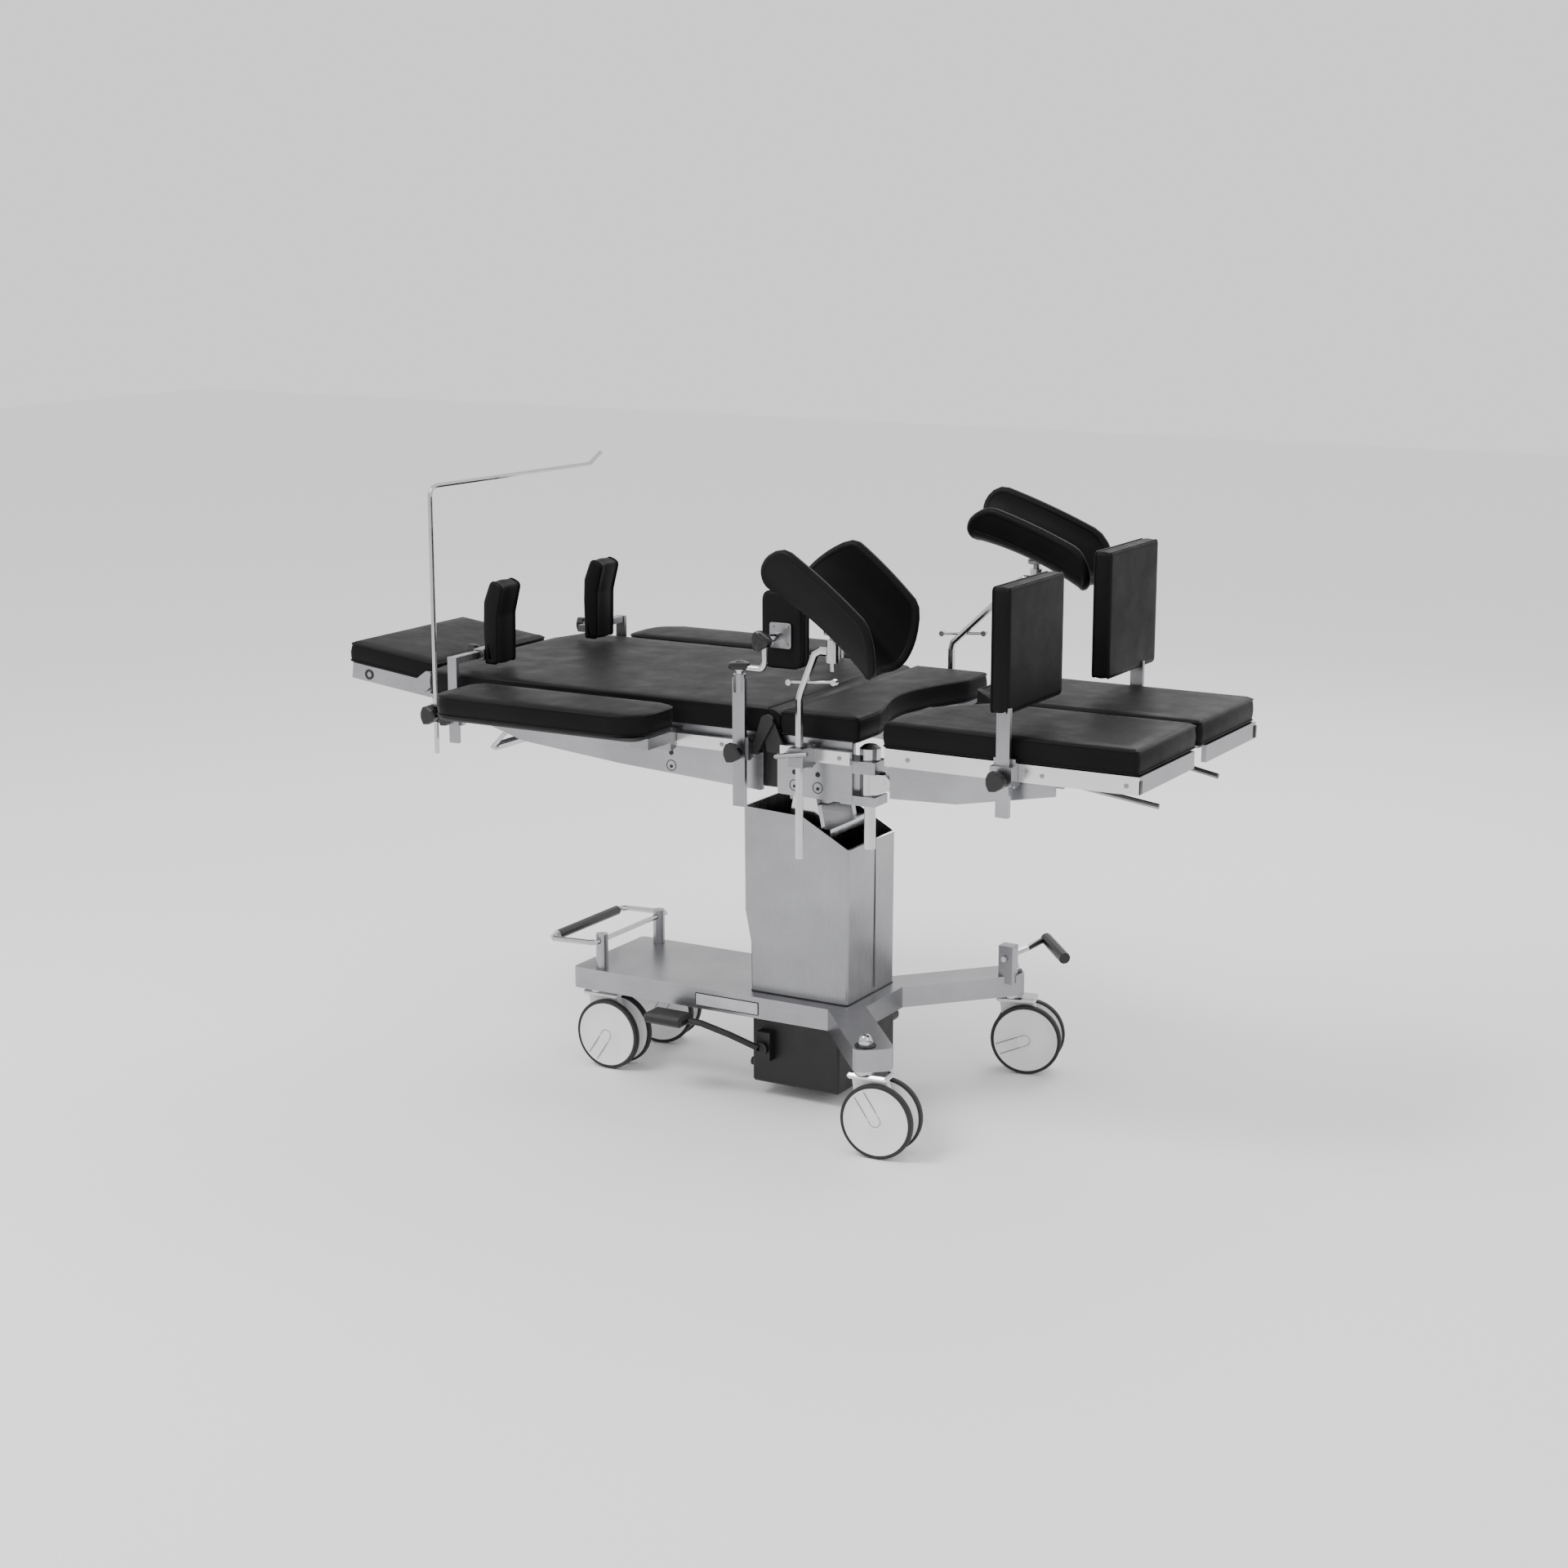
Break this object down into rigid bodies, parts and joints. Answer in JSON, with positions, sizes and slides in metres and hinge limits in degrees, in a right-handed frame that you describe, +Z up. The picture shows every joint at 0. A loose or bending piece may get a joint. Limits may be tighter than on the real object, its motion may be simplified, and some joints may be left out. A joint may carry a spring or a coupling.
{
  "type": "operating table",
  "caption": "Hydraulic operating table on casters, with hinged back, head and split leg sections, rail-mounted supports, knee troughs, foot boards and a screen rod.",
  "frame": {"origin": "on the floor, under the middle of the overall length and width", "axes": "+X to the foot end, +Y to the far side, +Z up"},
  "size_m": [1.8614, 0.96, 1.2654],
  "materials": {
    "stainless": "satin brushed stainless sheet and bar",
    "chrome": "polished plated bar",
    "steel": "machined steel",
    "upholstery": "soft-sheen black artificial leather",
    "black_plastic": "matt black moulded grips",
    "black_paint": "black paint",
    "white_plastic": "white moulded wheel and housing"
  },
  "bodies": {
    "base": {"base_frame": "steel", "base_cover": "stainless", "column_shroud": "stainless", "lift_cylinder": "steel", "hydraulic_unit": "black_paint"},
    "lift_head": {"lift_column": "chrome"},
    "tilt_block": {"tilt_yoke": "steel"},
    "seat_section": {"seat_frame": "stainless", "seat_pad": "upholstery", "leg_holder_clamp_near": "steel", "leg_holder_clamp_far": "steel"},
    "back_section": {"back_frame": "stainless", "back_pad": "upholstery", "screen_clamp": "steel", "shoulder_bracket_near": "stainless", "shoulder_bracket_far": "stainless", "side_support_post_near": "stainless", "side_support_post_far": "stainless", "arm_board_bracket_near": "steel", "arm_board_bracket_far": "steel"},
    "head_section": {"head_frame": "stainless", "head_pad": "upholstery"},
    "brake_bar": {"brake_bar": "black_plastic"},
    "foot_lever": {"foot_lever": "black_plastic"},
    "pump_pedal": {"pump_pedal": "black_plastic"},
    "back_release_bail": {"back_release_bail": "black_plastic"},
    "screen_rod": {"screen_rod": "chrome"},
    "caster_foot_near": {"caster_fork_foot_near": "white_plastic"},
    "wheels_foot_near": {"caster_wheels_foot_near": "white_plastic"},
    "caster_foot_far": {"caster_fork_foot_far": "white_plastic"},
    "wheels_foot_far": {"caster_wheels_foot_far": "white_plastic"},
    "caster_head_near": {"caster_fork_head_near": "white_plastic"},
    "wheels_head_near": {"caster_wheels_head_near": "white_plastic"},
    "caster_head_far": {"caster_fork_head_far": "white_plastic"},
    "wheels_head_far": {"caster_wheels_head_far": "white_plastic"},
    "leg_pivot_near": {"leg_hinge_near": "chrome"},
    "leg_section_near": {"leg_frame_near": "stainless", "leg_pad_near": "upholstery", "foot_board_clamp_near": "steel"},
    "leg_lever_near": {"leg_lever_near": "black_plastic"},
    "foot_board_near": {"foot_board_near": "upholstery"},
    "arm_board_near": {"arm_board_near": "upholstery"},
    "shoulder_pad_near": {"shoulder_pad_near": "upholstery"},
    "shoulder_knob_near": {"shoulder_knob_near": "black_plastic"},
    "side_support_arm_near": {"side_support_arm_near": "upholstery"},
    "leg_holder_post_near": {"leg_holder_post_near": "chrome"},
    "leg_holder_shell_near": {"leg_holder_shell_near": "upholstery"},
    "leg_pivot_far": {"leg_hinge_far": "chrome"},
    "leg_section_far": {"leg_frame_far": "stainless", "leg_pad_far": "upholstery", "foot_board_clamp_far": "steel"},
    "leg_lever_far": {"leg_lever_far": "black_plastic"},
    "foot_board_far": {"foot_board_far": "upholstery"},
    "arm_board_far": {"arm_board_far": "upholstery"},
    "shoulder_pad_far": {"shoulder_pad_far": "upholstery"},
    "shoulder_knob_far": {"shoulder_knob_far": "black_plastic"},
    "side_support_arm_far": {"side_support_arm_far": "upholstery"},
    "leg_holder_post_far": {"leg_holder_post_far": "chrome"},
    "leg_holder_shell_far": {"leg_holder_shell_far": "upholstery"}
  },
  "joints": [
    {"name": "column_lift", "type": "slide", "parent": "base", "child": "lift_head", "axis": [0, 0, 1], "range_m": [0, 0.25]},
    {"name": "tilt_lengthways", "type": "hinge", "parent": "lift_head", "child": "tilt_block", "pos_m": [0.12062, 0, 0.64], "axis": [0, -1, 0], "range_deg": [-25, 25]},
    {"name": "tilt_sideways", "type": "hinge", "parent": "tilt_block", "child": "seat_section", "pos_m": [0.12062, 0, 0.64], "axis": [1, 0, 0], "range_deg": [-15, 15]},
    {"name": "back_raise", "type": "hinge", "parent": "seat_section", "child": "back_section", "pos_m": [0.16062, 0, 0.827], "axis": [0, 1, 0], "range_deg": [-10, 25]},
    {"name": "head_raise", "type": "hinge", "parent": "back_section", "child": "head_section", "pos_m": [-0.68938, 0, 0.827], "axis": [0, 1, 0], "range_deg": [-40, 30]},
    {"name": "back_release", "type": "hinge", "parent": "back_section", "child": "back_release_bail", "pos_m": [-0.51938, 0, 0.762], "axis": [0, 1, 0], "range_deg": [0, 18]},
    {"name": "screen_swing", "type": "hinge", "parent": "back_section", "child": "screen_rod", "pos_m": [-0.61138, -0.319, 0.774], "axis": [0, 0, 1], "range_deg": [-90, 60]},
    {"name": "brake_rock", "type": "hinge", "parent": "base", "child": "brake_bar", "pos_m": [-0.34938, 0, 0.276], "axis": [0, 1, 0], "range_deg": [-18, 18]},
    {"name": "foot_lever_rock", "type": "hinge", "parent": "base", "child": "foot_lever", "pos_m": [0.42062, 0.262, 0.256], "axis": [0, 1, 0], "range_deg": [-18, 18]},
    {"name": "pump_stroke", "type": "hinge", "parent": "base", "child": "pump_pedal", "pos_m": [0.06062, -0.145, 0.112], "axis": [0, -1, 0], "range_deg": [0, 14]},
    {"name": "swivel_foot_near", "type": "hinge", "parent": "base", "child": "caster_foot_near", "pos_m": [0.38462, -0.304, 0.16], "axis": [0, 0, 1], "continuous": true},
    {"name": "roll_foot_near", "type": "hinge", "parent": "caster_foot_near", "child": "wheels_foot_near", "pos_m": [0.41949, -0.30095, 0.075], "axis": [-0.0872, 0.9962, 0], "continuous": true},
    {"name": "swivel_foot_far", "type": "hinge", "parent": "base", "child": "caster_foot_far", "pos_m": [0.41562, 0.296, 0.16], "axis": [0, 0, 1], "continuous": true},
    {"name": "roll_foot_far", "type": "hinge", "parent": "caster_foot_far", "child": "wheels_foot_far", "pos_m": [0.44943, 0.30506, 0.075], "axis": [-0.2588, 0.9659, 0], "continuous": true},
    {"name": "swivel_head_near", "type": "hinge", "parent": "base", "child": "caster_head_near", "pos_m": [-0.36438, -0.098, 0.16], "axis": [0, 0, 1], "continuous": true},
    {"name": "roll_head_near", "type": "hinge", "parent": "caster_head_near", "child": "wheels_head_near", "pos_m": [-0.32938, -0.098, 0.075], "axis": [0, 1, 0], "continuous": true},
    {"name": "swivel_head_far", "type": "hinge", "parent": "base", "child": "caster_head_far", "pos_m": [-0.36438, 0.098, 0.16], "axis": [0, 0, 1], "continuous": true},
    {"name": "roll_head_far", "type": "hinge", "parent": "caster_head_far", "child": "wheels_head_far", "pos_m": [-0.32991, 0.10408, 0.075], "axis": [-0.1736, 0.9848, 0], "continuous": true},
    {"name": "leg_spread_near", "type": "hinge", "parent": "seat_section", "child": "leg_pivot_near", "pos_m": [0.36062, -0.247, 0.72], "axis": [0, 0, -1], "range_deg": [0, 25]},
    {"name": "leg_fold_near", "type": "hinge", "parent": "leg_pivot_near", "child": "leg_section_near", "pos_m": [0.39662, -0.247, 0.726], "axis": [0, 1, 0], "range_deg": [0, 72]},
    {"name": "leg_release_near", "type": "hinge", "parent": "leg_section_near", "child": "leg_lever_near", "pos_m": [0.72862, -0.165, 0.75], "axis": [0, 1, 0], "range_deg": [0, 15]},
    {"name": "foot_board_height_near", "type": "slide", "parent": "leg_section_near", "child": "foot_board_near", "axis": [0, 0, 1], "range_m": [-0.03, 0.08]},
    {"name": "arm_board_swing_near", "type": "hinge", "parent": "back_section", "child": "arm_board_near", "pos_m": [-0.06938, -0.372, 0.8], "axis": [0, 0, 1], "range_deg": [0, 90]},
    {"name": "shoulder_slide_near", "type": "slide", "parent": "back_section", "child": "shoulder_pad_near", "axis": [0, -1, 0], "range_m": [-0.02, 0.05]},
    {"name": "shoulder_knob_turn_near", "type": "hinge", "parent": "shoulder_pad_near", "child": "shoulder_knob_near", "pos_m": [-0.59838, -0.2025, 0.886], "axis": [1, 0, 0], "continuous": true},
    {"name": "side_support_swing_near", "type": "hinge", "parent": "back_section", "child": "side_support_arm_near", "pos_m": [0.11062, -0.313, 0.92], "axis": [0, 0, 1], "range_deg": [0, 90]},
    {"name": "leg_holder_swing_near", "type": "hinge", "parent": "seat_section", "child": "leg_holder_post_near", "pos_m": [0.24862, -0.3235, 0.774], "axis": [0, 0, -1], "range_deg": [0, 25]},
    {"name": "knee_trough_turn_near", "type": "hinge", "parent": "leg_holder_post_near", "child": "leg_holder_shell_near", "pos_m": [0.32062, -0.3235, 1.032], "axis": [0, 0, -1], "range_deg": [-12, 10]},
    {"name": "leg_spread_far", "type": "hinge", "parent": "seat_section", "child": "leg_pivot_far", "pos_m": [0.36062, 0.247, 0.72], "axis": [0, 0, 1], "range_deg": [0, 25]},
    {"name": "leg_fold_far", "type": "hinge", "parent": "leg_pivot_far", "child": "leg_section_far", "pos_m": [0.39662, 0.247, 0.726], "axis": [0, 1, 0], "range_deg": [0, 72]},
    {"name": "leg_release_far", "type": "hinge", "parent": "leg_section_far", "child": "leg_lever_far", "pos_m": [0.72862, 0.165, 0.75], "axis": [0, 1, 0], "range_deg": [0, 15]},
    {"name": "foot_board_height_far", "type": "slide", "parent": "leg_section_far", "child": "foot_board_far", "axis": [0, 0, 1], "range_m": [-0.03, 0.08]},
    {"name": "arm_board_swing_far", "type": "hinge", "parent": "back_section", "child": "arm_board_far", "pos_m": [-0.06938, 0.372, 0.8], "axis": [0, 0, -1], "range_deg": [0, 90]},
    {"name": "shoulder_slide_far", "type": "slide", "parent": "back_section", "child": "shoulder_pad_far", "axis": [0, 1, 0], "range_m": [-0.02, 0.05]},
    {"name": "shoulder_knob_turn_far", "type": "hinge", "parent": "shoulder_pad_far", "child": "shoulder_knob_far", "pos_m": [-0.59838, 0.2025, 0.886], "axis": [1, 0, 0], "continuous": true},
    {"name": "side_support_swing_far", "type": "hinge", "parent": "back_section", "child": "side_support_arm_far", "pos_m": [-0.01938, 0.313, 0.92], "axis": [0, 0, -1], "range_deg": [0, 90]},
    {"name": "leg_holder_swing_far", "type": "hinge", "parent": "seat_section", "child": "leg_holder_post_far", "pos_m": [0.24862, 0.3235, 0.774], "axis": [0, 0, 1], "range_deg": [0, 25]},
    {"name": "knee_trough_turn_far", "type": "hinge", "parent": "leg_holder_post_far", "child": "leg_holder_shell_far", "pos_m": [0.43862, 0.3235, 1.095], "axis": [0, 0, 1], "range_deg": [-12, 25]}
  ],
  "couplings": [
    {"joint": "foot_lever_rock", "follows": "brake_rock", "ratio": 1}
  ]
}
